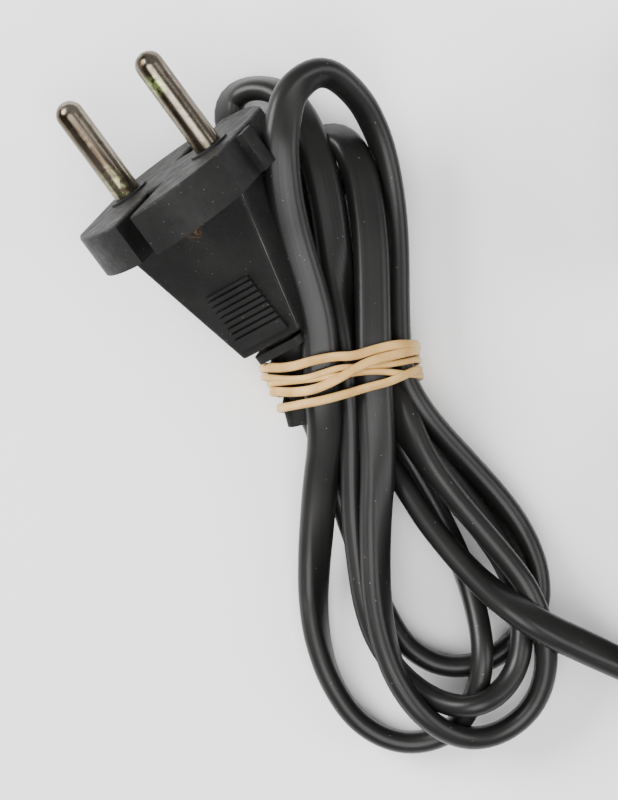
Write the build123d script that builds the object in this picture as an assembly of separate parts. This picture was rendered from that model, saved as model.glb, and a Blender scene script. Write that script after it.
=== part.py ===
from build123d import *
import os
from math import cos, pi, radians, sin, tan

# Two-pole extension cord, millimetres, +Z up, lying on a table at Z = 0.
# The plug lies on the edge of its round flange, its cord is bundled by a rubber band,
# and the rest of the length is coiled beside it and ends in a trailing socket.

cord_d = 6.1              # width of the flat twin-core cord
core_r = 1.1              # insulated core
wire_r = 0.55             # bare strands
gap = 0.06                # assembly gap between parts that touch
soft_gap = 0.4            # gap kept round soft solids

pin_pitch = 19.0
pin_r = 2.4
pin_length = 19.0
pin_x = pin_pitch / 2
pin_root_r = 2.0          # the pin's part inside the plug
pin_foot = 0.5            # where its full radius starts, in front of the flange's face

flange_r = 18.5
flange_depth = 7.6
flange_flat = 16.1        # half width across the two guide flats
guide_rib = (3.6, 1.3)    # width and how far it stands off the flat
slot_width = 3.4
slot_floor = 6.0          # slot's inner end, from the plug's centre line
edge_round = 0.5
grip_end = 33.0           # end of the grip, behind the flange's face
grip_half = (14.0, 6.6)   # half width at the flange and at the end
grip_thick = 11.8
grip_corner = 0.9
pad_start = 20.5          # raised finger pad, behind the flange's face
pad_end = 31.4
pad_half = (4.9, 5.4)     # its half width at the start and at the end
pad_rise = 0.6
groove_count = 8
groove_pitch = 1.12
groove_first = 21.2
groove_width = 0.42
bridge_half = (13.0, 3.5)  # pin bridge inside the flange
pin_collar_r = 3.0
pin_tail_r = 1.7          # crimp end behind the collar
core_bends = (2.6, 3.0)

plug_at = Vector(-64.4, 10.1, 19.75)     # centre of the flange's face
plug_heading = 126.4      # where the pins point, seen from above
plug_tilt = 13.0          # how far the pins point upwards
plug_roll = 36.6          # the pin line's turn about the plug's own axis
relief_root = 27.5        # the relief starts this far behind the flange's face
relief_knee = 37.5
relief_r = 3.9
relief_end = Vector(-40.0, -29.7, 8.2)
relief_bend = 12.0
relief_room_r = 7.8       # the bundle keeps this far from the cord inside the relief
relief_ribs = 4
block_share = 0.93        # the end block's place along the relief
rib_sizes = ((10.4, 11.0), (9.8, 8.8))   # the first plate and the end block
rib_thick = (1.5, 4.0)                   # a plate and the end block, along the cord

socket_at = Vector(15.3, 12.1, 11.0)     # centre of the socket's face
socket_r = 20.0
socket_half = 11.0        # half height, over the flats it lies on
head_length = 24.0
socket_length = 46.0
tail_half = (8.5, 7.5)    # half width and half height at the cord end
wall = 2.0
face_wall = 3.0
face_bore_r = 2.6
shutter_travel = 2 * face_bore_r
boot_length = 22.0
# Depths inside the socket, from its face towards the cord.
shutter_ends = (3.3, 5.3)
carrier_ends = (6.4, 21.6)
sleeve_ends = (6.8, 22.0)
terminal_ends = (22.0, 28.5)
terminal_screw_x = 25.3
columns = (14.5, 30.0)    # the two housing screws
sheath_end = 36.6
clamp_ends = (37.4, 41.4)
collar_ends = (41.8, 43.3)
tail_wall = 2.5
# Radii and half sizes inside the socket.
shoulder_r = 14.0
sleeve_r = 3.4
terminal_half = 3.4
column_r = 3.2
clamp_screw_y = 5.2
clamp_half = 7.0
clamp_thick = 1.7
shutter_half = 3.6
shutter_reach = (-17.4, 12.3)
lug = (-13.0, -11.4)      # shutter's lug, along the pin line
post = (1.6, 3.2)         # fixed stop for the spring, along the pin line
spring_z = 5.6
spring_r = 1.3
spring_wire_r = 0.2
spring_pitch = 1.5
boot_rings = 5

coil_at = (51.8, -52.8)
coil_mid_r = 33.0
coil_build = (8.4, 12.4)  # width and height of the bundle of turns
coil_corner = 2.4
tie_thick = 0.8
tie_width = 8.0
tie_angle = 60.0

lift = 0.1                # height of the lowest solid over the table
band_thick = 1.2
band_width = 9.0
band_span = (-51.4, -23.0)        # the bundle's waist, seen from above
waist_y = (-29.3, -19.8)
waist_height = 17.6
# Upper loops, lower loops, their gap and the low loop under the flange: (x, y, radius).
upper_loops = [(-37.7, 16.8, 12.5), (-34.7, -9.8, 10)]
upper_height = 24.0
lower_loops = [(-33, -38, 9.8), (-27.7, -72.2, 15.2), (-14.2, -71.7, 15.2), (-10.7, -59.7, 10.5)]
lower_height = 20.0
lower_gap = [(-25.6, -51.5, 1.2), (-24.6, -64.5, 2.0), (-17.0, -66.5, 3.0)]
low_loop = [(-50.2, 18.2, 5), (-39.2, 8.2, 7)]
low_height = 6.2

# Routes of the cord outside the bundle and the coil.
to_coil = [(-6.2, -63, 13.0), (5.3, -69.4, 9.2), (19.3, -76.2, 4.4), (33.3, -82.2, 3.4)]
to_socket = [
    (78.3, -75.8, 10.0),
    (88.6, -65.2, 9.2),
    (98.6, -53.5, 5.8),
    (108.0, -38.5, 3.2),
    (113.5, -21.0, 3.2),
    (112.9, -5.8, 4.2),
    (106.0, 6.3, 7.2),
    (95.4, 12.1, 10.2),
    (83.4, 12.1, 11.0),
]

os.makedirs("parts", exist_ok=True)


def save(node, shape):
    export_step(shape, f"parts/{node}.step")


def box(low, high):
    size = [b - a for a, b in zip(low, high)]
    return Pos(*[(a + b) / 2 for a, b in zip(low, high)]) * Box(*size)


def round_bar(path, radius):
    """Round bar along a path of lines and arcs."""
    return sweep(Plane(origin=path @ 0, z_dir=path % 0) * Circle(radius), path=path)


def plug_frame():
    heading, tilt, roll = radians(plug_heading), radians(plug_tilt), radians(plug_roll)
    pins = Vector(cos(tilt) * cos(heading), cos(tilt) * sin(heading), sin(tilt))
    level = Vector(sin(heading), -cos(heading), 0)
    upright = level.cross(pins)
    across = level * cos(roll) + upright * sin(roll)
    return Plane(origin=plug_at, x_dir=across, z_dir=pins)


def behind(distance):
    """Point on the plug's centre line, behind the flange's face."""
    return plug.origin - plug.z_dir * distance


def route_radii(points):
    """Arc radius at each corner of a cord's route, as large as its two runs allow."""
    radii = []
    for a, b, c in zip(points, points[1:], points[2:]):
        turn = (b - a).get_angle(c - b)
        shorter = min((b - a).length, (c - b).length)
        radii.append(0.45 * shorter / tan(radians(turn / 2)))
    return radii


def tube(name, points, radius=cord_d / 2):
    """Cord along straight runs joined by tangent arcs."""
    points = [Vector(*p) for p in points]
    radii = route_radii(points)
    path = FilletPolyline(*points, radius=radii)
    solid = round_bar(path, radius)
    section = pi * radius ** 2
    print(
        f"{name}: length {path.length:.1f}, least radius {min(radii):.1f},",
        f"volume over section times length {solid.volume / (section * path.length):.3f}",
    )
    return solid


plug = plug_frame()
on_plug = plug.location
level_dir = Vector(0, 0, 1).cross(plug.z_dir) * -1

# ---------------------------------------------------------------- plug


def flange():
    """Round flange with a guide rib on each flat and an earth-clip slot on each other side."""
    disc = Pos(0, 0, -flange_depth / 2) * Cylinder(flange_r, flange_depth)
    for side in (-1, 1):
        beyond = sorted((side * flange_flat, side * 2 * flange_r))
        disc -= box((beyond[0], -flange_r, -2 * flange_depth), (beyond[1], flange_r, 1))
        slot = sorted((side * slot_floor, side * 2 * flange_r))
        half = slot_width / 2
        disc -= box((-half, slot[0], -2 * flange_depth), (half, slot[1], 1))
    disc = fillet(disc.edges().group_by(Axis.Z)[-1], edge_round)
    for side in (-1, 1):
        rib = sorted((side * (flange_flat - 1), side * (flange_flat + guide_rib[1])))
        half = guide_rib[0] / 2
        disc += box((rib[0], -half, -flange_depth), (rib[1], half, -edge_round))
    return disc


def tapered(start, end, halves, thick):
    """Flat block that narrows along the plug's axis, thick from its middle plane."""
    outline = [(-halves[0], -start), (halves[0], -start), (halves[1], -end), (-halves[1], -end)]
    return extrude(make_face(Plane.XZ * Polyline(*outline, close=True)), amount=thick, both=True)


def finger_pad():
    """Raised pads on both broad faces, each with cross grooves."""
    half = grip_thick / 2
    pads = tapered(pad_start, pad_end, pad_half, half + pad_rise)
    for k in range(groove_count):
        z = -groove_first - k * groove_pitch
        for side in (-1, 1):
            low, high = sorted((side * half, side * 2 * half))
            pads -= box((-half - 1, low, z - groove_width / 2), (half + 1, high, z + groove_width / 2))
    return pads


def grip():
    body = tapered(flange_depth - 1, grip_end, grip_half, grip_thick / 2)
    long_edges = body.edges().filter_by(lambda e: abs(e.tangent_at(0.5).Z) > 0.9)
    body = fillet(long_edges, grip_corner)
    body = fillet(body.edges().group_by(Axis.Z)[0], edge_round)
    return body + finger_pad()


def bridge_envelope(extra=0.0):
    """Rigid insert that holds the pins, with a raised ring at each pin's foot."""
    wide, deep = bridge_half[0] + extra, bridge_half[1] + extra
    shape = box((-wide, -deep, -6.5 - extra), (wide, deep, -2 + extra))
    for x in (-pin_x, pin_x):
        shape += Pos(x, 0, -2) * Cylinder(bridge_half[1] + extra, 4.8)
    return shape


def pin(x):
    shaft_top = pin_length - pin_r
    shape = Pos(x, 0, (shaft_top + pin_foot) / 2) * Cylinder(pin_r, shaft_top - pin_foot)
    shape += Pos(x, 0, shaft_top) * Sphere(pin_r)
    shape += Pos(x, 0, (pin_foot - 8) / 2) * Cylinder(pin_root_r, pin_foot + 8)
    shape += Pos(x, 0, -9.5) * Cylinder(pin_tail_r, 4)
    shape += Pos(x, 0, -7.2) * Cylinder(pin_collar_r, 1.2)
    return shape - Pos(x, 0, -10.2) * Cylinder(wire_r + gap, 3.2)


def core_path(side):
    x = side * pin_x
    near = side * (core_r + 0.15)
    points = [(x, 0, -12), (x * 0.98, 0, -15), (near * 2.2, 0, -23.0), (near, 0, -27.0)]
    return FilletPolyline(*[Vector(*p) for p in points], radius=core_bends)


def plug_body():
    """Soft moulded flange and grip, hollow where the bridge, pins, cores and relief sit."""
    body = flange() + grip() - bridge_envelope(gap)
    for side in (-1, 1):
        body -= Pos(side * pin_x, 0, -7.25) * Cylinder(pin_collar_r + gap, 1.5)
        body -= Pos(side * pin_x, 0, -9.9) * Cylinder(pin_tail_r + gap, 4.8)
        body -= round_bar(core_path(side), core_r + gap)
    return body - Pos(0, 0, -31.5) * Cylinder(relief_r + gap, 9)


def pin_bridge():
    bridge = bridge_envelope()
    for x in (-pin_x, pin_x):
        bridge -= Pos(x, 0, 0) * Cylinder(pin_root_r + gap, 20)
    return bridge


def relief_path(extra=0.0):
    """Line of the relief, with a straight stretch of the cord past its end."""
    path = FilletPolyline(behind(relief_root), behind(relief_knee), relief_end, radius=relief_bend)
    if not extra:
        return path
    return Wire((path + [Line(path @ 1, path @ 1 + (path % 1) * extra)]).edges())


def relief():
    """Boot round the cord, with broad cross plates outside the grip and a block at its end."""
    path = relief_path()
    shape = round_bar(path, relief_r)
    first = (grip_end - relief_root + 1.5) / path.length
    last = relief_ribs - 1
    for k in range(relief_ribs):
        share = first + (block_share - first) * k / last
        thick = rib_thick[1] if k == last else rib_thick[0]
        size = [a + (b - a) * k / last for a, b in zip(*rib_sizes)]
        # The plates turn from the plug's roll towards the table, as the cord lies.
        level = plug.x_dir * (1 - 0.22 * k) + level_dir * (0.22 * k)
        plane = Plane(origin=path @ share, x_dir=level, z_dir=path % share)
        outline = plane * RectangleRounded(*size, 1.5)
        shape += extrude(outline, amount=thick / 2, both=True)
    return shape - cord_start()


def cord_start():
    """The cord's first stretch, inside the relief, and 3 mm past its end."""
    return round_bar(relief_path(3.0), cord_d / 2 - 0.1)


save("plug_body", on_plug * plug_body())
save("plug_pin_bridge", on_plug * pin_bridge())
for name, side in (("left", -1), ("right", 1)):
    save(f"plug_pin_{name}", on_plug * pin(side * pin_x))
for name, side in (("brown", -1), ("blue", 1)):
    save(f"plug_core_{name}", on_plug * round_bar(core_path(side), core_r))
    save(f"plug_strands_{name}", on_plug * Pos(side * pin_x, 0, -10.4) * Cylinder(wire_r, 3.0))
save("plug_strain_relief", relief())
save("cord_start", cord_start())

# ---------------------------------------------------------------- socket


beyond = 30.0             # half size of a block that clears the socket on every side
in_socket = Location((socket_at.X, socket_at.Y, socket_at.Z))


def bar_x(radius, start, end, y=0.0, z=0.0):
    return Pos((start + end) / 2, y, z) * Rot(0, 90, 0) * Cylinder(radius, end - start)


def bar_z(radius, low, high, x, y):
    return Pos(x, y, (low + high) / 2) * Cylinder(radius, high - low)


def socket_outline(inset, front, back):
    """Flattened round head with a tapered tail, from depth front to depth back."""
    side, half = socket_r - inset, socket_half - inset
    end_y, end_z = tail_half[0] - inset, tail_half[1] - inset
    turn, far = head_length, socket_length
    plan = [(-1, -side), (turn, -side), (far, -end_y), (far, end_y), (turn, side), (-1, side)]
    flank = [(-1, -half), (turn, -half), (far, -end_z), (far, end_z), (turn, half), (-1, half)]
    plan_face = make_face(Polyline(*plan, close=True))
    shoulders = plan_face.vertices().filter_by(lambda v: abs(v.X - head_length) < 0.1)
    plan_face = fillet(shoulders, shoulder_r)
    shape = extrude(plan_face, amount=beyond, both=True)
    shape &= extrude(make_face(Plane.XZ * Polyline(*flank, close=True)), amount=beyond, both=True)
    shape &= bar_x(side, -1, far)
    return shape & box((front, -beyond, -beyond), (back, beyond, beyond))


def face_insert():
    plate = socket_outline(0.0, 0.0, face_wall)
    plate = fillet(plate.edges().group_by(Axis.X)[0], 1.2)
    for y in (-pin_x, pin_x):
        plate -= bar_x(face_bore_r, -1, face_wall + 1, y)
    return plate + box((face_wall - 0.5, post[0], 4.4), (6.0, post[1], 7.4))


def shell(side):
    """Half housing above or below the pin line, with its screw columns."""
    low, high = sorted((side * gap / 2, side * 30))
    start = face_wall + gap
    room = socket_outline(wall, start - 1, socket_length - tail_wall)
    half = socket_outline(0.0, start, socket_length) - room
    for x in columns:
        column = bar_z(column_r, -socket_half + 1, socket_half - 1, x, 0)
        half += column & socket_outline(0.5, start, socket_length)
    half -= bar_x(4.6, socket_length - tail_wall - 1, socket_length + 1)
    if side < 0:
        for y in (-clamp_screw_y, clamp_screw_y):
            pad = bar_z(1.7, -9, 2.9, sum(clamp_ends) / 2, y)
            half += pad & socket_outline(0.5, start, socket_length)
        saddle = box((clamp_ends[0], -3, -9), (clamp_ends[1], 3, -cord_d / 2 - gap))
        half += saddle & socket_outline(0.5, start, socket_length)
    half &= box((0, -beyond, low), (2 * socket_length, beyond, high))
    for x in columns:
        half -= bar_z(1.6, -20, 20, x, 0)
        if side > 0:
            half -= bar_z(2.9, screw_head_z(x), 20, x, 0)
        else:
            half -= bar_z(3.0, -20, -screw_head_z(x), x, 0)
    if side < 0:
        for y in (-clamp_screw_y, clamp_screw_y):
            half -= bar_z(0.95, -4, 4, sum(clamp_ends) / 2, y)
    return half


def screw_head_z(x):
    """Height of the screw head's seat: the tail's slope leaves less depth there."""
    return 7.6 if x < head_length else 6.6


def contact(side):
    """Brass sleeve for one pin, split along its length, with its terminal block."""
    y = side * pin_x
    sleeve = bar_x(sleeve_r, *sleeve_ends, y) - bar_x(pin_r + 0.05, 0, sleeve_ends[1] - 1, y)
    sleeve -= box((0, y - 0.4, 0), (sleeve_ends[1] - 3, y + 0.4, 6))
    start, end = terminal_ends
    block = box((start, y - terminal_half, -terminal_half), (end, y + terminal_half, terminal_half))
    block -= bar_x(core_r + gap, start + 1.2, end + 1, y)
    block -= bar_z(1.31, 0, 10, terminal_screw_x, y)
    return sleeve + block


def carrier():
    start, end = carrier_ends
    block = box((start, -14.4, -5.2), (end, 14.4, 5.2))
    block = fillet(block.edges().filter_by(Axis.X), 1.5)
    for y in (-pin_x, pin_x):
        block -= bar_x(sleeve_r + gap, start - 1, end + 1, y)
    block -= bar_z(column_r + 2 * gap, -20, 20, columns[0], 0)
    return block - box((start - 1, -17, 3.9), (6.6, 6, 9))


def shutter():
    low, high = shutter_reach
    plate = box((shutter_ends[0], low, -shutter_half), (shutter_ends[1], high, shutter_half))
    for y in (-pin_x, pin_x):
        plate -= bar_x(face_bore_r, 0, 10, y - shutter_travel)
    return plate + box((shutter_ends[0], lug[0], shutter_half - 0.5), (shutter_ends[1], lug[1], 6.9))


def shutter_spring():
    """Compression spring along the pin line, between the shutter's lug and the post."""
    start, end = lug[1] + 0.1, post[0] - 0.1
    height = end - start - 2 * spring_wire_r
    coils = Helix(pitch=spring_pitch, height=height, radius=spring_r - spring_wire_r)
    wire = Plane(origin=coils @ 0, z_dir=coils % 0) * Circle(spring_wire_r)
    spring = sweep(wire, path=coils, is_frenet=True)
    return Pos(sum(shutter_ends) / 2, start + spring_wire_r, spring_z) * Rot(-90, 0, 0) * spring


def socket_core(side):
    y = side * pin_x
    near = side * (core_r + 0.12)
    end = sheath_end - 0.5
    points = [(terminal_ends[0] + 1.4, y, 0), (31.4, y, 0), (34.2, near * 1.6, 0), (end, near, 0)]
    return round_bar(FilletPolyline(*[Vector(*p) for p in points], radius=[1.8, 1.8]), core_r)


def boot():
    start = socket_length + gap
    end = socket_length + boot_length
    profile = [(collar_ends[0], 0), (collar_ends[0], 5.3), (collar_ends[1], 5.3), (collar_ends[1], 4.5)]
    profile += [(start, 4.5), (start, 6.6), (start + 3, 6.6)]
    step = (end - start - 3) / boot_rings
    for k in range(boot_rings):
        at = start + 3 + k * step
        groove = at + 0.4 * step
        r = 6.0 - 0.3 * k
        profile += [(at + 0.01, r - 0.9), (groove, r - 0.9), (groove + 0.01, r), (at + step, r - 0.2)]
    profile += [(end, 0)]
    solid = revolve(make_face(Polyline(*profile, close=True)), axis=Axis.X)
    return solid - bar_x(cord_d / 2 + gap, 0, 100)


for side, name in ((1, "upper"), (-1, "lower")):
    save(f"socket_shell_{name}", in_socket * shell(side))
save("socket_face", in_socket * face_insert())
save("socket_contact_carrier", in_socket * carrier())
save("socket_shutter", in_socket * shutter())
save("socket_shutter_spring", in_socket * shutter_spring())
for name, side in (("brown", -1), ("blue", 1)):
    save(f"socket_contact_{name}", in_socket * contact(side))
    save(f"socket_core_{name}", in_socket * socket_core(side))
save("socket_strain_relief", in_socket * boot())

terminal_screws = Compound(
    [
        bar_z(1.25, core_r + gap, 3.6, terminal_screw_x, y)
        + bar_z(2.0, 3.5, 5.0, terminal_screw_x, y)
        - box((20, y - 0.3, 4.3), (30, y + 0.3, 6))
        for y in (-pin_x, pin_x)
    ]
)
save("socket_terminal_screws", in_socket * terminal_screws)

clamp_x = sum(clamp_ends) / 2
bar_low = cord_d / 2 + gap
clamp_bar = box((clamp_ends[0], -clamp_half, bar_low), (clamp_ends[1], clamp_half, bar_low + clamp_thick))
for y in (-clamp_screw_y, clamp_screw_y):
    clamp_bar -= bar_z(1.1, 0, 9, clamp_x, y)
save("socket_cord_clamp", in_socket * clamp_bar)
clamp_screws = Compound(
    [
        bar_z(0.9, -3.5, bar_low + 1.8, clamp_x, y)
        + bar_z(1.5, bar_low + 1.75, bar_low + 2.5, clamp_x, y)
        for y in (-clamp_screw_y, clamp_screw_y)
    ]
)
save("socket_clamp_screws", in_socket * clamp_screws)

housing_screws = Compound(
    [
        bar_z(1.5, -screw_head_z(x) - 1.8, screw_head_z(x) + 0.5, x, 0)
        + bar_z(2.7, screw_head_z(x) + gap, screw_head_z(x) + 1.6, x, 0)
        - box((x - 3, -0.35, screw_head_z(x) + 0.9), (x + 3, 0.35, 12))
        for x in columns
    ]
)
save("socket_housing_screws", in_socket * housing_screws)
nuts = []
for x in columns:
    seat = -screw_head_z(x) - gap
    hexagon = extrude(Pos(x, 0, seat) * RegularPolygon(2.8, 6), amount=-1.8)
    nuts.append(hexagon - bar_z(1.55, -20, 0, x, 0))
save("socket_housing_nuts", in_socket * Compound(nuts))

# ---------------------------------------------------------------- cord

def lobe(circles, height, low=lift, edge=3.0):
    """Flat-bottomed solid over the hull of some circles, each (x, y, radius)."""
    outline = [e for x, y, r in circles for e in (Pos(x, y) * Circle(r)).edges()]
    solid = extrude(make_hull(outline), amount=height - low)
    return Pos(0, 0, low) * fillet(solid.edges().group_by(Axis.Z)[-1], edge)


def plug_room():
    """The plug's outer shape with room round it."""
    disc = Pos(0, 0, -flange_depth / 2) * Cylinder(flange_r + 1.2, flange_depth + 2 * soft_gap)
    halves = (grip_half[0] + 1.0, grip_half[1] + 1.2)
    body = tapered(flange_depth - 2, grip_end + soft_gap, halves, grip_thick / 2 + pad_rise + soft_gap)
    return on_plug * (disc + body) + round_bar(relief_path(0.8), relief_room_r)


def hank():
    """Outer shape of the bundled loops: the upper loops, the waist and the lower loops."""
    upper = lobe(upper_loops, upper_height)
    lower = lobe(lower_loops, lower_height) - lobe(lower_gap, 2 * lower_height, low=-1, edge=0.5)
    waist_right = band_span[1] - band_thick - 0.3
    waist = box((-43.7, -42, 1.5), (waist_right, -12, waist_height))
    waist = fillet(waist.edges().filter_by(Axis.Y), 3)
    foot = lobe(low_loop, low_height, edge=1.5)
    trench = box((-60, waist_y[0] - 0.3, 0), (0, waist_y[1] + 0.3, 30))
    loops = upper + lower + foot - trench + waist - plug_room()
    return loops.solids().sort_by(SortBy.VOLUME)[-1] - cord_start()


def rubber_band():
    """The wraps of the band as one ring round the bundle's waist and the relief."""
    low, high = band_span
    mid_x = (low + high) / 2
    width, height = high - low, waist_height + 2 * band_thick + 0.4
    at = Plane(origin=(mid_x, waist_y[0] + 0.2, lift + height / 2), z_dir=(0, 1, 0), x_dir=(1, 0, 0))
    outer = at * RectangleRounded(width, height, 5)
    inner = at * RectangleRounded(width - 2 * band_thick, height - 2 * band_thick, 3.8)
    return extrude(outer - inner, amount=band_width)


def coil():
    width, height = coil_build
    ring = Cylinder(coil_mid_r + width / 2, height) - Cylinder(coil_mid_r - width / 2, height)
    ring = fillet(ring.edges(), coil_corner)
    return Pos(*coil_at, lift + tie_thick + gap + height / 2) * ring


def coil_tie(angle):
    """Strap round the coil's bundle of turns at one place."""
    width, height = coil_build
    middle = Location((coil_mid_r, tie_thick + gap + height / 2 + lift, 0))
    at = Plane.XZ.offset(-tie_width / 2) * middle
    hollow = RectangleRounded(width + 2 * gap + 0.5, height + 2 * gap, 2.0)
    strap = RectangleRounded(width + 2 * gap + 0.5 + 2 * tie_thick, height + 2 * gap + 2 * tie_thick, 2.8)
    ring = extrude(at * (strap - hollow), amount=tie_width)
    return Pos(*coil_at, 0) * Rot(0, 0, angle) * ring


save("cord_hank", hank())
save("rubber_band", rubber_band())
save("cord_run", tube("cord_run", to_coil))
save("cord_coil", coil())
save("coil_tie", coil_tie(tie_angle))
save("cord_lead", tube("cord_lead", to_socket))
save("cord_end", in_socket * bar_x(cord_d / 2, sheath_end, socket_length + boot_length))
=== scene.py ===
from math import cos, pi, radians, sin

import bmesh
import bpy
from mathutils import Matrix, Vector


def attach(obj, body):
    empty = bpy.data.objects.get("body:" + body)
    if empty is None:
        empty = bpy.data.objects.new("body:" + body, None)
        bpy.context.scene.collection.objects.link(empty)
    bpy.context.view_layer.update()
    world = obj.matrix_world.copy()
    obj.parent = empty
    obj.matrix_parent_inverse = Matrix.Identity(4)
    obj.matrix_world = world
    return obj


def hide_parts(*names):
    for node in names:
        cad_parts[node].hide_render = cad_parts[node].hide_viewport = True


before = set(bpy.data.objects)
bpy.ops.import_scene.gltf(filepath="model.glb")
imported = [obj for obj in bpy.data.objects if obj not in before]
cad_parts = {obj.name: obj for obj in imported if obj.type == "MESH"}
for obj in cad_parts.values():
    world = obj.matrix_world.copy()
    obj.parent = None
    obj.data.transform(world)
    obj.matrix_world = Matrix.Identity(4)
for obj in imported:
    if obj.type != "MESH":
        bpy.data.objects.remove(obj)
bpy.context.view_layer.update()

mm = 0.001


def report(stage):
    print("stage:", stage)


def deselectAll():
    bpy.ops.object.select_all(action="DESELECT")


def addObject(name, mesh):
    piece = bpy.data.objects.new(name, mesh)
    bpy.context.scene.collection.objects.link(piece)
    return piece


def makeActive(piece):
    deselectAll()
    piece.select_set(True)
    bpy.context.view_layer.objects.active = piece


def smoothByAngle(piece, degreesLimit=35):
    makeActive(piece)
    bpy.ops.object.shade_smooth_by_angle(angle=radians(degreesLimit))


cameraSettings = {
    "height": 0.5,
    "centre": (-0.0412, -0.02775),
    "frameHeight": 800 / 5800,
}


def makeCamera(s):
    data = bpy.data.cameras.new("camera")
    camera = addObject("camera", data)
    data.sensor_width = 36
    data.lens = 36 * s["height"] / s["frameHeight"]
    data.clip_start = 0.01
    camera.location = (*s["centre"], s["height"])
    bpy.context.scene.camera = camera


makeCamera(cameraSettings)
report("camera")



def startMaterial(name, roughness, metallic=0.0, specular=0.5):
    material = bpy.data.materials.new(name)
    material.use_nodes = True
    nodes, links = material.node_tree.nodes, material.node_tree.links
    shader = nodes["Principled BSDF"]
    shader.inputs["Roughness"].default_value = roughness
    shader.inputs["Metallic"].default_value = metallic
    shader.inputs["Specular IOR Level"].default_value = specular
    return material, nodes, links, shader


def objectPlace(nodes):
    return nodes.new("ShaderNodeTexCoord").outputs["Object"]


def noise(nodes, links, place, scale, detail=3.0, roughness=0.5):
    texture = nodes.new("ShaderNodeTexNoise")
    texture.inputs["Scale"].default_value = scale
    texture.inputs["Detail"].default_value = detail
    texture.inputs["Roughness"].default_value = roughness
    links.new(place, texture.inputs["Vector"])
    return texture.outputs["Fac"]


def spread(nodes, links, value, low, high, toLow=0.0, toHigh=1.0):
    remap = nodes.new("ShaderNodeMapRange")
    for socket, number in zip(("From Min", "From Max", "To Min", "To Max"), (low, high, toLow, toHigh)):
        remap.inputs[socket].default_value = number
    links.new(value, remap.inputs["Value"])
    return remap.outputs["Result"]


def times(nodes, links, a, b):
    multiply = nodes.new("ShaderNodeMath")
    multiply.operation = "MULTIPLY"
    links.new(a, multiply.inputs[0])
    if isinstance(b, float):
        multiply.inputs[1].default_value = b
    else:
        links.new(b, multiply.inputs[1])
    return multiply.outputs["Value"]


def mixColours(nodes, links, factor, a, b):
    mix = nodes.new("ShaderNodeMix")
    mix.data_type = "RGBA"
    links.new(factor, mix.inputs["Factor"])
    for socket, colour in ((mix.inputs[6], a), (mix.inputs[7], b)):
        if isinstance(colour, tuple):
            socket.default_value = (*colour, 1)
        else:
            links.new(colour, socket)
    return mix.outputs[2]


def specks(nodes, links, place, scale, size, share):
    # small round spots in a few of the cells
    cells = nodes.new("ShaderNodeTexVoronoi")
    cells.inputs["Scale"].default_value = scale
    links.new(place, cells.inputs["Vector"])
    near = spread(nodes, links, cells.outputs["Distance"], size, size * 0.6)
    pick = nodes.new("ShaderNodeSeparateColor")
    links.new(cells.outputs["Color"], pick.inputs["Color"])
    chosen = spread(nodes, links, pick.outputs["Red"], 1 - share, 1 - share + 0.02)
    return times(nodes, links, near, chosen)


def bump(nodes, links, shader, height, strength, distance):
    node = nodes.new("ShaderNodeBump")
    node.inputs["Strength"].default_value = strength
    node.inputs["Distance"].default_value = distance
    links.new(height, node.inputs["Height"])
    links.new(node.outputs["Normal"], shader.inputs["Normal"])


def along(nodes, links, place, axis, origin=(0, 0, 0)):
    # how far a point is along an axis
    offset = nodes.new("ShaderNodeVectorMath")
    offset.operation = "SUBTRACT"
    links.new(place, offset.inputs[0])
    offset.inputs[1].default_value = origin
    dot = nodes.new("ShaderNodeVectorMath")
    dot.operation = "DOT_PRODUCT"
    links.new(offset.outputs["Vector"], dot.inputs[0])
    dot.inputs[1].default_value = axis
    return dot.outputs["Value"]


def nearPoint(nodes, links, place, point, inner, outer):
    distance = nodes.new("ShaderNodeVectorMath")
    distance.operation = "DISTANCE"
    links.new(place, distance.inputs[0])
    distance.inputs[1].default_value = point
    return spread(nodes, links, distance.outputs["Value"], outer, inner)


def mouldedPlastic(name, s):
    material, nodes, links, shader = startMaterial(name, s["roughness"], specular=s["specular"])
    place = objectPlace(nodes)
    cloud = spread(nodes, links, noise(nodes, links, place, 160, 4), 0.35, 0.65)
    colour = mixColours(nodes, links, cloud, s["dark"], s["light"])
    dust = specks(nodes, links, place, s["dustScale"], 0.1, s["dust"])
    colour = mixColours(nodes, links, dust, colour, s["dustColour"])
    if s["stain"]:
        patch = nearPoint(nodes, links, place, s["stain"], 0.0002, 0.0022)
        broken = spread(nodes, links, noise(nodes, links, place, 2600, 2), 0.5, 0.62)
        patch = times(nodes, links, patch, broken)
        colour = mixColours(nodes, links, patch, colour, s["stainColour"])
    if s["scuffs"]:
        axis, origin = s["scuffs"]
        front = spread(nodes, links, along(nodes, links, place, axis, origin), -0.0005, -0.0002)
        rubbed = spread(nodes, links, noise(nodes, links, place, 1300, 5), 0.5, 0.68)
        marks = times(nodes, links, front, rubbed)
        colour = mixColours(nodes, links, times(nodes, links, marks, 0.5), colour, s["scuffColour"])
    links.new(colour, shader.inputs["Base Color"])
    rough = noise(nodes, links, place, 420, 3)
    rough = spread(nodes, links, rough, 0.3, 0.7, s["roughness"] - 0.07, s["roughness"] + 0.1)
    links.new(rough, shader.inputs["Roughness"])
    bump(nodes, links, shader, noise(nodes, links, place, s["grain"], 2), s["grainStrength"], 0.0001)
    return material


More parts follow.
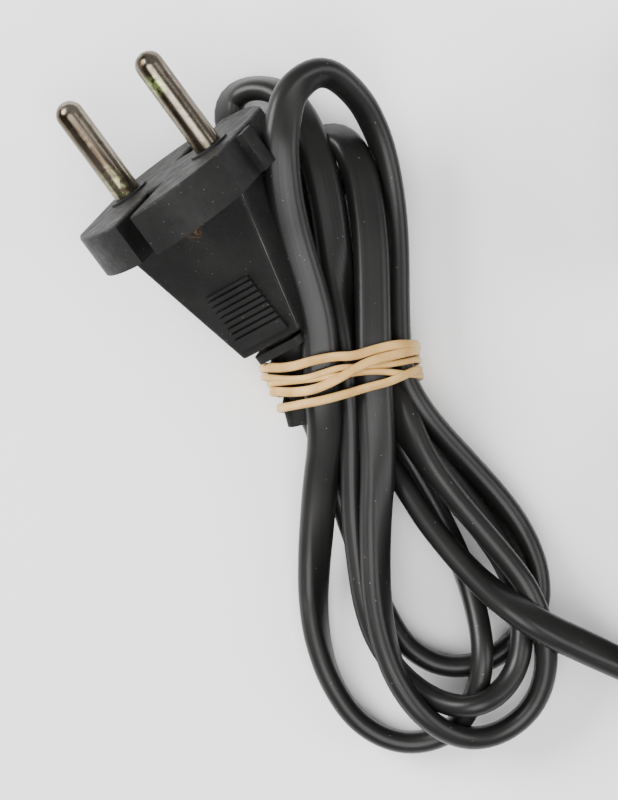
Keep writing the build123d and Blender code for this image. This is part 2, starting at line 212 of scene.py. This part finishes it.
def cableSheath(name, s):
    material, nodes, links, shader = startMaterial(name, s["roughness"], specular=0.27)
    place = objectPlace(nodes)
    cloud = spread(nodes, links, noise(nodes, links, place, 60, 3), 0.35, 0.65)
    colour = mixColours(nodes, links, cloud, s["dark"], s["light"])
    dust = specks(nodes, links, place, 1100, 0.1, 0.16)
    colour = mixColours(nodes, links, dust, colour, (0.22, 0.21, 0.2))
    links.new(colour, shader.inputs["Base Color"])
    lengthwise = nodes.new("ShaderNodeAttribute")
    lengthwise.attribute_name = "along"
    stretch = nodes.new("ShaderNodeMapping")
    stretch.inputs["Scale"].default_value = (22, 9, 9)
    links.new(lengthwise.outputs["Vector"], stretch.inputs["Vector"])
    streaks = noise(nodes, links, stretch.outputs["Vector"], 1.0, 4)
    rough = spread(nodes, links, streaks, 0.3, 0.7, s["roughness"] - 0.06, s["roughness"] + 0.12)
    links.new(rough, shader.inputs["Roughness"])
    bump(nodes, links, shader, noise(nodes, links, place, 1500, 2), 0.16, 0.00005)
    return material


def latex(name, s):
    material, nodes, links, shader = startMaterial(name, s["roughness"], specular=0.4)
    place = objectPlace(nodes)
    cloud = spread(nodes, links, noise(nodes, links, place, 230, 4), 0.3, 0.7)
    colour = mixColours(nodes, links, cloud, s["dark"], s["light"])
    dust = specks(nodes, links, place, 900, 0.12, 0.12)
    colour = mixColours(nodes, links, dust, colour, (0.3, 0.2, 0.1))
    links.new(colour, shader.inputs["Base Color"])
    shader.inputs["Subsurface Weight"].default_value = 0.25
    shader.inputs["Subsurface Radius"].default_value = (1.0, 0.6, 0.3)
    shader.inputs["Subsurface Scale"].default_value = 0.0008
    bump(nodes, links, shader, noise(nodes, links, place, 1400, 3), 0.35, 0.0001)
    return material


def wornNickel(name, s):
    material, nodes, links, shader = startMaterial(name, s["roughness"], metallic=1.0)
    place = objectPlace(nodes)
    parts = nodes.new("ShaderNodeCombineXYZ")
    for socket, axis, scale in (("X", s["across"], 520.0), ("Y", s["front"], 520.0), ("Z", s["pins"], 26.0)):
        links.new(times(nodes, links, along(nodes, links, place, axis), scale), parts.inputs[socket])
    streaks = spread(nodes, links, noise(nodes, links, parts.outputs["Vector"], 1.0, 3), 0.38, 0.62)
    colour = mixColours(nodes, links, streaks, s["dark"], s["light"])
    worn = spread(nodes, links, noise(nodes, links, place, 700, 4), 0.52, 0.66, 0.0, 0.7)
    colour = mixColours(nodes, links, worn, colour, s["worn"])
    for point, inner, outer, tint, strength in s["stains"]:
        patch = nearPoint(nodes, links, place, point, inner, outer)
        rough = spread(nodes, links, noise(nodes, links, place, 1300, 3), 0.42, 0.6, 0.0, strength)
        colour = mixColours(nodes, links, times(nodes, links, patch, rough), colour, tint)
    links.new(colour, shader.inputs["Base Color"])
    rough = noise(nodes, links, parts.outputs["Vector"], 1.6, 4)
    rough = spread(nodes, links, rough, 0.3, 0.7, s["roughness"] - 0.08, s["roughness"] + 0.16)
    links.new(rough, shader.inputs["Roughness"])
    bump(nodes, links, shader, noise(nodes, links, place, 1800, 2), 0.12, 0.00004)
    return material


def plainMetal(name, dark, light, roughness):
    material, nodes, links, shader = startMaterial(name, roughness, metallic=1.0)
    place = objectPlace(nodes)
    cloud = spread(nodes, links, noise(nodes, links, place, 500, 4), 0.35, 0.65)
    links.new(mixColours(nodes, links, cloud, dark, light), shader.inputs["Base Color"])
    bump(nodes, links, shader, noise(nodes, links, place, 2500, 2), 0.1, 0.00003)
    return material


def wovenStrap(name, dark, light):
    material, nodes, links, shader = startMaterial(name, 0.85, specular=0.25)
    lengthwise = nodes.new("ShaderNodeAttribute")
    lengthwise.attribute_name = "along"
    stretch = nodes.new("ShaderNodeMapping")
    stretch.inputs["Scale"].default_value = (1500, 8, 1)
    links.new(lengthwise.outputs["Vector"], stretch.inputs["Vector"])
    weave = nodes.new("ShaderNodeTexChecker")
    weave.inputs["Scale"].default_value = 1.0
    links.new(stretch.outputs["Vector"], weave.inputs["Vector"])
    links.new(mixColours(nodes, links, weave.outputs["Fac"], dark, light), shader.inputs["Base Color"])
    fuzz = noise(nodes, links, objectPlace(nodes), 3000, 2)
    bump(nodes, links, shader, times(nodes, links, weave.outputs["Fac"], fuzz), 0.6, 0.00025)
    return material


def giveMaterial(material, *names):
    for name in names:
        piece = bpy.data.objects[name]
        piece.data.materials.clear()
        piece.data.materials.append(material)


# The route runs from the plug to the socket, in millimetres. Each point's last number is
# the flat cord's twist in degrees: 0 lies flat, 90 stands on edge.
reliefRun = [(-51.8, -6.9, 13.6, -37), (-46.2, -17.4, 11.3, -30), (-40.0, -29.7, 8.2, 10)]
firstLoop = [
    (-38.6, -34.6, 6.4, 70), (-37.1, -40.6, 3.9, 88), (-35.5, -45.9, 3.2, 90), (-33.7, -51.2, 3.1, 90),
    (-31.1, -57.7, 3.1, 90), (-28.3, -63.6, 3.1, 90), (-25.8, -68.2, 3.1, 90), (-23.2, -70.9, 3.1, 90),
    (-19.4, -73, 3.1, 90), (-15.3, -73.5, 3.1, 90), (-11.2, -72.6, 3.1, 90), (-7.1, -70.2, 3.1, 90),
    (-3.5, -66.6, 3.1, 90), (-1.6, -62, 3.1, 90), (-2.3, -56.2, 3.1, 76), (-4.9, -50.4, 3.4, 64),
    (-8.7, -45, 4.4, 60), (-14.3, -38.8, 6, 62), (-19, -33.5, 8, 74), (-22.8, -28.3, 9.8, 90),
    (-25.2, -23.5, 10.2, 90),
]
tallLoop = [
    (-25.8, -18.5, 10, 90), (-26, -10.8, 9.5, 90), (-26, -2.4, 9, 90), (-26.6, 5.3, 9, 88),
    (-27.9, 12, 10, 80), (-29.8, 17.7, 12, 70), (-33, 23.2, 15.5, 72), (-38.7, 27.4, 19.5, 66),
    (-44.3, 23.5, 23.2, 40), (-45.8, 16.8, 24.8, 8), (-45.8, 10.8, 24.2, 0), (-45, 4.4, 22.4, -4),
    (-43.4, -2.1, 20, -6), (-41.4, -8.3, 18.8, -6), (-39.7, -14.7, 17.6, -4), (-39.2, -21.1, 16.8, 0),
]
leftLoop = [
    (-38.9, -27.8, 15.2, 5), (-38.3, -34.5, 12.4, 8), (-39.2, -41.3, 9.2, 8), (-39.8, -48.2, 6.6, 16),
    (-40.3, -55.1, 4.4, 34), (-40.5, -62, 3.4, 52), (-39.8, -68.9, 3.1, 72), (-37.6, -76.1, 3.1, 88),
    (-33.1, -82.9, 3.1, 90), (-26.5, -86.5, 3.1, 90), (-20.1, -86.2, 3.2, 90), (-15.4, -83.1, 4.6, 90),
    (-12.7, -77.7, 7.2, 90), (-11.6, -71.4, 8.9, 90), (-12.4, -64.3, 6.4, 88), (-15, -55.6, 4.2, 85),
    (-18.8, -47.8, 3.9, 80), (-23.1, -40.6, 4.6, 70), (-27, -33.9, 5.6, 50), (-29.6, -27.8, 6.4, 20),
]
flangeLoop = [
    (-31.5, -20.9, 6.2, 0), (-34.2, -13.2, 5.2, 0), (-38, -5.9, 4.4, 0), (-42.4, 1, 3.4, 0),
    (-46.9, 7.4, 2.4, 0), (-50.3, 12.4, 2, 2), (-53.4, 16.9, 2, 14), (-55.1, 21.1, 2.6, 40),
    (-54.2, 24.3, 3.8, 70), (-50.8, 25.7, 5.2, 80), (-46.1, 24.8, 7.2, 60), (-42.6, 20.5, 9.6, 28),
    (-40, 13.7, 11.4, 8), (-38.2, 6.4, 11.8, 2), (-37, -1.6, 12, 10), (-36, -9.6, 12, 40),
    (-35.1, -17.3, 12.6, 75),
]
middleLoop = [
    (-34.6, -24.4, 12.8, 88), (-34.1, -32, 11.8, 90), (-34.1, -40.4, 10.6, 90), (-33.9, -48, 9.7, 90),
    (-33.1, -54.8, 9.3, 90), (-32.1, -61.6, 9, 88), (-30.2, -67.8, 8.4, 86), (-26.8, -73.1, 7.8, 88),
    (-22.2, -77.3, 7.9, 90), (-17.2, -79.5, 9.8, 90), (-12.9, -79.3, 11.6, 90), (-8.8, -77.2, 10.2, 90),
    (-5.8, -72.9, 9.2, 90), (-5, -67.5, 9, 90), (-5.4, -61.7, 7.4, 85), (-7.4, -55.5, 5.6, 70),
    (-11, -49.8, 4.8, 55), (-15.8, -43.5, 4.8, 45), (-20.9, -36.6, 5.4, 40), (-24.8, -29.8, 5.8, 20),
]
shortLoop = [
    (-27.9, -22.6, 5.8, 0), (-31.2, -15, 6, 0), (-35.2, -7, 5.4, 0), (-38.8, 1.1, 4.8, 5),
    (-41, 8.2, 4.6, 20), (-41.4, 13.2, 5, 45), (-39.2, 16.8, 6.8, 70), (-35.6, 16.7, 9.4, 45),
    (-33.1, 12.5, 11.6, 10), (-31.6, 5.9, 12.4, 0), (-30.8, -1.7, 13.2, -3), (-30.6, -10.2, 14, -3),
    (-30.5, -18.5, 14.6, 0),
]
rightLoop = [
    (-30.2, -25.2, 14.6, 3), (-29.8, -32.8, 14.2, 8), (-29.6, -39.5, 13.8, 20), (-30, -46.2, 13.4, 38),
    (-30.1, -52.9, 13, 48), (-29.9, -60.5, 12.7, 55), (-28.9, -67.2, 12.8, 66), (-26.8, -74.1, 12.8, 80),
    (-23, -80.1, 11.6, 88), (-18, -84.1, 9.4, 90), (-12.7, -85.5, 7.2, 90), (-7.3, -83.9, 6.3, 90),
    (-2.9, -79.8, 6.8, 90), (-0.9, -73.9, 8.4, 90), (-1.3, -67.1, 10, 84), (-4, -59.9, 11.2, 86),
    (-7.5, -55, 11.4, 86), (-12, -49.7, 11.2, 85), (-16.9, -43.9, 11.2, 85), (-21.7, -37.7, 11.4, 76),
    (-25.4, -30.8, 11.4, 30),
]
hiddenLoop = [
    (-27.8, -24, 9.6, 0), (-27.2, -16.6, 5.2, 60), (-26.6, -8, 3.2, 90), (-26.8, 0.2, 3.1, 90),
    (-28.6, 6.6, 3.1, 90), (-32, 10.2, 3.1, 85), (-36.4, 10.2, 2.6, 50), (-39.6, 7, 2.2, 20),
    (-40.4, 1.4, 2.1, 0),
    (-39.3, -5.4, 2.2, 0), (-37.1, -14, 2.8, 0), (-34.5, -22.6, 3.2, 0),
]
outOfHank = [
    (-31.5, -30.3, 4.6, 10), (-28.6, -35.9, 7, 60), (-25.3, -41.6, 9.2, 80), (-21.4, -48.2, 10.4, 84),
    (-16.6, -54, 11.8, 80), (-11.4, -59.3, 13.9, 68), (-6.5, -63, 15.6, 50), (-1.2, -66.3, 14.2, 40),
    (5.3, -69.4, 10.6, 34), (19.3, -76.2, 5.2, 60), (33.3, -82.2, 4.0, 90),
]
toSocket = [
    (78.3, -75.8, 10.0, 90), (88.6, -65.2, 9.2, 80), (98.6, -53.5, 5.8, 50), (108.0, -38.5, 3.2, 20),
    (113.5, -21.0, 2.4, 8), (112.9, -5.8, 3.4, 8), (106.0, 6.3, 6.8, 6), (95.4, 12.1, 10.2, 0),
    (83.4, 12.1, 11.0, 0), (67.0, 12.1, 11.0, 0), (52.2, 12.1, 11.0, 0),
]
cableFinish = {
    "dark": (0.007, 0.0067, 0.0065),
    "light": (0.0125, 0.012, 0.0115),
    "roughness": 0.34,
}
cordSettings = {
    "width": 0.0061,
    "thickness": 0.0037,
    "around": 20,
    "spacing": 0.0011,
    "length": 2.0,
}
coilSettings = {
    "centre": (51.8, -52.8),
    "outer": 35.0,
    "inner": 30.9,
    "lower": 4.0,
    "upper": 10.1,
    "turns": 4.0,
    "perTurn": 16,
    "from": -122,
    "to": -41,
}


def blendStep(x):
    x = min(max(x, 0), 1)
    return x * x * (3 - 2 * x)


def coilPoints(s):
    # two turns side by side, then two on top, the last one outermost
    sweep = s["to"] - s["from"] + 360 * s["turns"]
    steps = int(s["perTurn"] * sweep / 360)
    points = []
    for k in range(1, steps):
        turn = k / steps * sweep / 360
        inward = blendStep((turn - 0.85) / 0.3) - blendStep((turn - 2.95) / 0.3)
        up = blendStep((turn - 1.95) / 0.3)
        angle = radians(s["from"] + turn * 360)
        radius = s["outer"] + (s["inner"] - s["outer"]) * inward + 0.35 * sin(5 * angle + 2 * turn)
        height = s["lower"] + (s["upper"] - s["lower"]) * up
        x = s["centre"][0] + radius * cos(angle)
        y = s["centre"][1] + radius * sin(angle)
        points.append((x, y, height, 90))
    return points


def joinAs(name, pieces):
    makeActive(pieces[0])
    for piece in pieces:
        piece.select_set(True)
    bpy.ops.object.join()
    joined = bpy.context.object
    joined.name = name
    joined.data.name = name
    return joined


def routeSpline(name, points, closed=False):
    curve = bpy.data.curves.new(name, "CURVE")
    curve.dimensions = "3D"
    curve.resolution_u = 12
    spline = curve.splines.new("NURBS")
    spline.points.add(len(points) - 1)
    for slotPoint, p in zip(spline.points, points):
        slotPoint.co = (p[0] * mm, p[1] * mm, p[2] * mm, 1)
    spline.order_u = 3
    spline.use_endpoint_u = not closed
    spline.use_cyclic_u = closed
    return curve


def splineLine(curve):
    holder = addObject(curve.name, curve)
    bpy.context.view_layer.update()
    mesh = bpy.data.meshes.new_from_object(holder)
    line = [v.co.copy() for v in mesh.vertices]
    bpy.data.objects.remove(holder)
    bpy.data.meshes.remove(mesh)
    return line


def evenly(line, spacing):
    lengths = [0]
    for a, b in zip(line, line[1:]):
        lengths.append(lengths[-1] + (b - a).length)
    count = round(lengths[-1] / spacing)
    points, k = [], 0
    for i in range(count + 1):
        want = lengths[-1] * i / count
        while k < len(line) - 2 and lengths[k + 1] < want:
            k += 1
        share = (want - lengths[k]) / max(lengths[k + 1] - lengths[k], 1e-9)
        points.append(line[k].lerp(line[k + 1], min(share, 1)))
    return points, lengths[-1]


def twistAlong(points, marks, spacing):
    # each mark gives the twist at the point nearest to it
    at, places, k = [], [], 0
    for mark in marks:
        where = Vector(mark[:3]) * mm
        ahead = range(k, min(len(points), k + int(0.03 / spacing)))
        k = min(ahead, key=lambda i: (points[i] - where).length)
        places.append(k)
        at.append(mark[3])
    twist, m = [], 0
    for i in range(len(points)):
        while m < len(places) - 2 and places[m + 1] < i:
            m += 1
        span = max(places[m + 1] - places[m], 1)
        share = min(max((i - places[m]) / span, 0), 1)
        twist.append(at[m] + (at[m + 1] - at[m]) * share)
    smooth = []
    for i in range(len(twist)):
        near = twist[max(0, i - 4):i + 5]
        smooth.append(sum(near) / len(near))
    return smooth


def flatSection(width, thickness, around):
    # flat faces and round edges
    r, points = thickness / 2, []
    half = max(width / 2 - r, 0)
    for k in range(around):
        a = 2 * pi * (k + 0.5) / around
        shift = half if cos(a) > 0 else -half
        points.append((shift + r * cos(a), r * sin(a)))
    return points


def sweepStrip(name, points, acrosses, section, closed=False):
    # a flat section along a line; each ring's width lies along its own direction
    shape = bmesh.new()
    marks = shape.verts.layers.float_color.new("along")
    rings, count, run = [], len(points), 0
    for i, p in enumerate(points):
        before = points[i - 1] if closed else points[max(i - 1, 0)]
        after = points[(i + 1) % count] if closed else points[min(i + 1, count - 1)]
        ahead = (after - before).normalized()
        across = acrosses[i] - ahead * acrosses[i].dot(ahead)
        across.normalize()
        through = across.cross(ahead)
        ring = []
        for x, y in section:
            v = shape.verts.new(p + across * x + through * y)
            v[marks] = (run, x / mm, y / mm, 1)
            ring.append(v)
        rings.append(ring)
        run += (after - p).length
    pairs = list(zip(rings, rings[1:]))
    if closed:
        pairs.append((rings[-1], rings[0]))
    else:
        shape.faces.new(rings[0])
        shape.faces.new(rings[-1])
    for a, b in pairs:
        for k in range(len(section)):
            n = (k + 1) % len(section)
            shape.faces.new((a[k], a[n], b[n], b[k]))
    bmesh.ops.recalc_face_normals(shape, faces=shape.faces)
    mesh = bpy.data.meshes.new(name)
    shape.to_mesh(mesh)
    shape.free()
    piece = addObject(name, mesh)
    smoothByAngle(piece, 50)
    return piece


def makeCord(s):
    marks = (
        reliefRun + firstLoop + tallLoop + leftLoop + flangeLoop + middleLoop + shortLoop
        + rightLoop + hiddenLoop + outOfHank + coilPoints(coilSettings) + toSocket
    )
    line = splineLine(routeSpline("cord_route", marks))
    points, length = evenly(line, s["spacing"])
    print("cord length", round(length, 4))
    twist = twistAlong(points, marks, s["spacing"])
    acrosses = []
    for i in range(len(points)):
        # no part of the flat section goes into the table
        a = radians(twist[i])
        points[i].z = max(points[i].z, abs(sin(a)) * s["width"] / 2 + abs(cos(a)) * s["thickness"] / 2)
        ahead = points[min(i + 1, len(points) - 1)] - points[max(i - 1, 0)]
        side = ahead.cross(Vector((0, 0, 1))).normalized()
        up = side.cross(ahead).normalized()
        acrosses.append(side * cos(a) + up * sin(a))
    return sweepStrip("cord", points, acrosses, flatSection(s["width"], s["thickness"], s["around"])), points


cord, cordLine = makeCord(cordSettings)
cord.data.materials.append(cableSheath("black_cable", cableFinish))
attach(cord, "root")
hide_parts("cord_start", "cord_hank", "cord_run", "cord_coil", "cord_lead", "cord_end")
report("cord")

# Each wrap's points on top of the bundle, from left to right; its last number says how
# far it is lifted over the wraps under it.
bandWraps = [
    [(-48.9, -22.3, 0), (-44.6, -22.4, 0.2), (-40.6, -21.2, 0.5), (-36.9, -20.5, 0.5), (-33.9, -20.5, 0.4),
     (-30.5, -19.4, 0.2), (-26.4, -18.4, 0.1), (-23.4, -18.5, 0)],
    [(-48.6, -23.9, 0), (-44.8, -24.3, 0), (-41.9, -24.2, 0), (-39.0, -23.3, 0), (-36.0, -22.3, 0),
     (-33.2, -22.3, 0), (-28.6, -21.9, 0), (-26.0, -21.5, 0), (-23.2, -20.9, 0)],
    [(-47.2, -26.3, 0), (-44.2, -26.5, 0), (-41.0, -26.2, 0.1), (-38.5, -25.3, 0.4), (-35.7, -23.9, 0.7),
     (-33.0, -22.2, 0.9), (-30.2, -21.0, 0.8), (-26.8, -20.2, 0.6), (-23.5, -19.4, 0.3)],
    [(-47.6, -25.0, 0), (-43.4, -24.6, 0), (-39.2, -24.1, 0), (-35.0, -23.5, 0.1), (-31.6, -23.0, 0.3),
     (-28.8, -23.0, 0.3), (-25.8, -23.3, 0.2), (-22.8, -23.6, 0.1)],
    [(-45.9, -29.1, 0), (-42.8, -28.5, 0), (-39.4, -27.9, 0), (-35.2, -26.8, 0), (-31.0, -25.5, 0.1),
     (-28.0, -24.8, 0.4), (-25.9, -23.9, 0.6), (-23.0, -22.6, 0.4)],
]
bandSettings = {
    "widths": (0.0016, 0.0011, 0.0016, 0.0011, 0.0015),
    "thickness": 0.0009,
    "spacing": 0.0006,
    "under": 0.5,
    "top": [
        (-50.4, 9.0), (-48.8, 12.4), (-46.5, 15.2), (-43.5, 17.0), (-41.5, 18.6), (-37.0, 18.9),
        (-34.5, 17.9), (-31.0, 17.2), (-27.5, 16.4), (-25.0, 14.9), (-23.4, 13.2), (-22.3, 10.5),
    ],
}
latexFinish = {
    "dark": (0.45, 0.245, 0.065),
    "light": (0.68, 0.43, 0.155),
    "roughness": 0.5,
}


def levelAt(profile, x):
    for (x0, z0), (x1, z1) in zip(profile, profile[1:]):
        if x <= x1:
            return z0 + (z1 - z0) * max(x - x0, 0) / (x1 - x0)
    return profile[-1][1]


def wrapLoop(s, wrap, turn):
    points = [(x, y, levelAt(s["top"], x) + 0.4 + up) for x, y, up in wrap]
    left, right = wrap[0], wrap[-1]
    low = s["under"] + 0.12 * turn
    points += [(right[0] + 0.8, right[1] - 0.1, 8.0), (right[0] + 0.6, right[1] - 0.4, 4.0)]
    points += [(right[0] - 1.6, right[1] - 0.9, low + 0.4), (-30.0, right[1] * 0.7 + left[1] * 0.3, low)]
    points += [(-38.0, right[1] * 0.4 + left[1] * 0.6, low), (left[0] + 4.4, left[1] - 0.3, low + 0.3)]
    points += [(left[0] + 0.6, left[1] - 0.2, 3.4), (left[0] - 0.5, left[1], 8.0)]
    return points


def makeBand(s, wraps):
    loops = []
    for turn, wrap in enumerate(wraps):
        curve = routeSpline("wrap", [(*p, 0) for p in wrapLoop(s, wrap, turn)], closed=True)
        line = splineLine(curve)
        points = evenly(line + line[:1], s["spacing"])[0][:-1]
        acrosses = []
        for i in range(len(points)):
            sway = radians(28 * sin(2 * pi * i / len(points) * (2 + turn % 2) + 1.3 * turn))
            acrosses.append(Vector((0, cos(sway), sin(sway))))
        section = flatSection(s["widths"][turn], s["thickness"], 12)
        loops.append(sweepStrip("wrap", points, acrosses, section, closed=True))
    return joinAs("rubber_band_wraps", loops)


band = makeBand(bandSettings, bandWraps)
band.data.materials.append(latex("tan_latex", latexFinish))
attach(band, "root")
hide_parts("rubber_band")
report("rubber band")

tieSettings = {
    "middle": (33.0, 7.2),
    "half": (5.0, 7.0),
    "width": 0.008,
    "thickness": 0.0009,
    "angle": 60,
    "overlap": 0.22,
}


def makeTie(s):
    # once round the coil's bundle of turns and a little over its own start
    turn, points, acrosses = Matrix.Rotation(radians(s["angle"]), 3, "Z"), [], []
    steps = 64
    for k in range(steps + int(steps * s["overlap"])):
        a = 2 * pi * k / steps + 0.6
        power = 2 / 5
        x = s["half"][0] * abs(cos(a)) ** power * (1 if cos(a) > 0 else -1)
        z = s["half"][1] * abs(sin(a)) ** power * (1 if sin(a) > 0 else -1)
        out = 1 + 0.09 * blendStep((k - steps + 6) / 6)
        place = turn @ Vector((s["middle"][0] + x * out, 0, 0))
        centre = coilSettings["centre"]
        height = max(s["middle"][1] + z * out, 0.55)
        points.append(Vector((centre[0] + place.x, centre[1] + place.y, height)) * mm)
        acrosses.append(turn @ Vector((0, 1, 0)))
    section = flatSection(s["width"], s["thickness"], 12)
    return sweepStrip("tie_strap", points, acrosses, section)


tie = makeTie(tieSettings)
tie.data.materials.append(wovenStrap("woven_tie", (0.012, 0.012, 0.013), (0.05, 0.05, 0.054)))
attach(tie, "root")
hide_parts("coil_tie")
report("coil tie")

# The plug's own directions: the pins' direction, the line from pin to pin, and the way
# its broad face looks.
plugSettings = {
    "face": (-64.4, 10.1, 19.75),
    "pins": (-0.57821, 0.78426, 0.22495),
    "across": (0.72577, 0.36845, 0.58094),
}
plugPins = Vector(plugSettings["pins"])
plugAcross = Vector(plugSettings["across"])
plugFront = plugPins.cross(plugAcross) * -1


def onPlug(across, front, behind):
    place = Vector(plugSettings["face"]) + plugAcross * across + plugFront * front - plugPins * behind
    return place * mm


pvcFinish = {
    "dark": (0.0062, 0.006, 0.0058),
    "light": (0.0105, 0.0102, 0.0099),
    "roughness": 0.56,
    "specular": 0.17,
    "dustScale": 1400,
    "dust": 0.3,
    "dustColour": (0.17, 0.165, 0.16),
    "grain": 1500,
    "grainStrength": 0.6,
    "stain": None,
    "scuffs": None,
    "stainColour": (0.16, 0.06, 0.02),
    "scuffColour": (0.04, 0.039, 0.037),
}
nylonFinish = {
    **pvcFinish,
    "dark": (0.011, 0.011, 0.0115),
    "light": (0.017, 0.017, 0.0175),
    "grainStrength": 0.35,
    "dust": 0.08,
}
pinFinish = {
    "dark": (0.045, 0.032, 0.021),
    "light": (0.27, 0.235, 0.19),
    "worn": (0.12, 0.095, 0.068),
    "roughness": 0.2,
    "pins": plugPins,
    "across": plugAcross,
    "front": plugFront,
    "stains": [
        (onPlug(9.5, 2.0, -13.6), 0.0006, 0.0022, (0.36, 0.46, 0.16), 0.85),
        (onPlug(-9.5, 1.6, -2.6), 0.001, 0.0048, (0.30, 0.31, 0.16), 0.75),
        (onPlug(9.5, 1.6, -1.6), 0.0008, 0.003, (0.16, 0.12, 0.08), 0.8),
    ],
}
greyFinish = {
    **nylonFinish,
    "dark": (0.40, 0.41, 0.42),
    "light": (0.47, 0.48, 0.49),
    "dustColour": (0.3, 0.3, 0.3),
}
brownFinish = {**nylonFinish, "dark": (0.16, 0.06, 0.02), "light": (0.2, 0.08, 0.03), "dust": 0.01}
blueFinish = {**nylonFinish, "dark": (0.025, 0.1, 0.42), "light": (0.035, 0.13, 0.5), "dust": 0.01}

plugFinish = {**pvcFinish, "stain": onPlug(1.0, 6.0, 9.3), "scuffs": (plugPins, onPlug(0, 0, 0))}
giveMaterial(
    mouldedPlastic("black_pvc_plug", plugFinish),
    "plug_body", "plug_strain_relief", "socket_strain_relief",
)
giveMaterial(
    mouldedPlastic("black_nylon", nylonFinish),
    "plug_pin_bridge", "socket_shell_upper", "socket_shell_lower", "socket_face",
)
giveMaterial(wornNickel("nickel_pin", pinFinish), "plug_pin_left", "plug_pin_right")
giveMaterial(
    mouldedPlastic("grey_nylon", greyFinish),
    "socket_contact_carrier", "socket_shutter", "socket_cord_clamp",
)
giveMaterial(mouldedPlastic("brown_insulation", brownFinish), "plug_core_brown", "socket_core_brown")
giveMaterial(mouldedPlastic("blue_insulation", blueFinish), "plug_core_blue", "socket_core_blue")
giveMaterial(
    plainMetal("copper_strand", (0.62, 0.28, 0.13), (0.8, 0.42, 0.24), 0.32),
    "plug_strands_brown", "plug_strands_blue",
)
giveMaterial(
    plainMetal("brass", (0.68, 0.5, 0.2), (0.82, 0.64, 0.32), 0.28),
    "socket_contact_brown", "socket_contact_blue",
)
giveMaterial(plainMetal("spring_steel", (0.42, 0.42, 0.44), (0.56, 0.56, 0.58), 0.3), "socket_shutter_spring")
giveMaterial(
    plainMetal("zinc_steel", (0.55, 0.56, 0.58), (0.7, 0.71, 0.73), 0.34),
    "socket_terminal_screws", "socket_clamp_screws", "socket_housing_screws", "socket_housing_nuts",
)
report("plug and socket finishes")

flashSettings = {
    "from": 7.9,
    "to": 32.4,
    "steps": 40,
    "width": 0.00014,
    "thickness": 0.00014,
    "halfWidths": (13.74, 6.34),
    "gripFrom": 6.6,
    "gripLength": 26.4,
    "ragged": 0.035,
    "out": 5.66,
    # painted highlight: the flash's light grey stands in for light catching the ridge, not the plastic's own
    # colour
    "colour": (0.11, 0.107, 0.1),
}


def makeFlash(s):
    # thin ragged ridge left by the mould on the grip's front edge; its light grey colour is a painted
    # highlight along that edge
    points, acrosses = [], []
    for k in range(s["steps"] + 1):
        share = k / s["steps"]
        behind = s["from"] + (s["to"] - s["from"]) * share
        wide, narrow = s["halfWidths"]
        down = (behind - s["gripFrom"]) / s["gripLength"]
        across = wide + (narrow - wide) * down + s["ragged"] * sin(k * 1.9) * sin(k * 0.7)
        points.append(onPlug(across, s["out"], behind))
        acrosses.append((plugAcross + plugFront).normalized())
    return sweepStrip("plug_flash", points, acrosses, flatSection(s["width"], s["thickness"], 8))


flash = makeFlash(flashSettings)
# painted highlight: the flash material is much lighter than the plug's black PVC
flashHighlightFinish = {**pvcFinish, "dark": (0.03, 0.03, 0.028), "light": flashSettings["colour"], "dust": 0.01}
flash.data.materials.append(mouldedPlastic("mould_flash", flashHighlightFinish))
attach(flash, "root")
report("mould flash")



def makeStage():
    bpy.ops.mesh.primitive_plane_add(size=3, location=(0, 0, -0.0002))
    floor = bpy.context.object
    floor.name = "floor"
    material = bpy.data.materials.new("floor")
    material.use_nodes = True
    shader = material.node_tree.nodes["Principled BSDF"]
    shader.inputs["Base Color"].default_value = (0.97, 0.97, 0.97, 1)
    shader.inputs["Roughness"].default_value = 0.9
    floor.data.materials.append(material)


def areaLight(name, place, towards, size, power):
    data = bpy.data.lights.new(name, "AREA")
    data.shape = "DISK"
    data.size = size
    data.energy = power
    light = addObject(name, data)
    light.location = place
    light.rotation_euler = (Vector(towards) - Vector(place)).to_track_quat("-Z", "Y").to_euler()


# each light's place, width and power
lightSettings = {
    "towards": (-0.03, -0.03, 0.0),
    "key": ((-0.75, 0.3, 0.55), 0.6, 17),
    "fill": ((0.75, -0.05, 0.5), 0.6, 4.5),
    "top": ((0.0, -0.45, 1.2), 1.0, 19),
    "around": 0.42,
}
makeStage()
for name in ("key", "fill", "top"):
    place, width, power = lightSettings[name]
    areaLight(name, place, lightSettings["towards"], width, power)
world = bpy.data.worlds.new("world")
bpy.context.scene.world = world
world.use_nodes = True
world.node_tree.nodes["Background"].inputs["Color"].default_value = (1, 1, 1, 1)
world.node_tree.nodes["Background"].inputs["Strength"].default_value = lightSettings["around"]
report("stage")
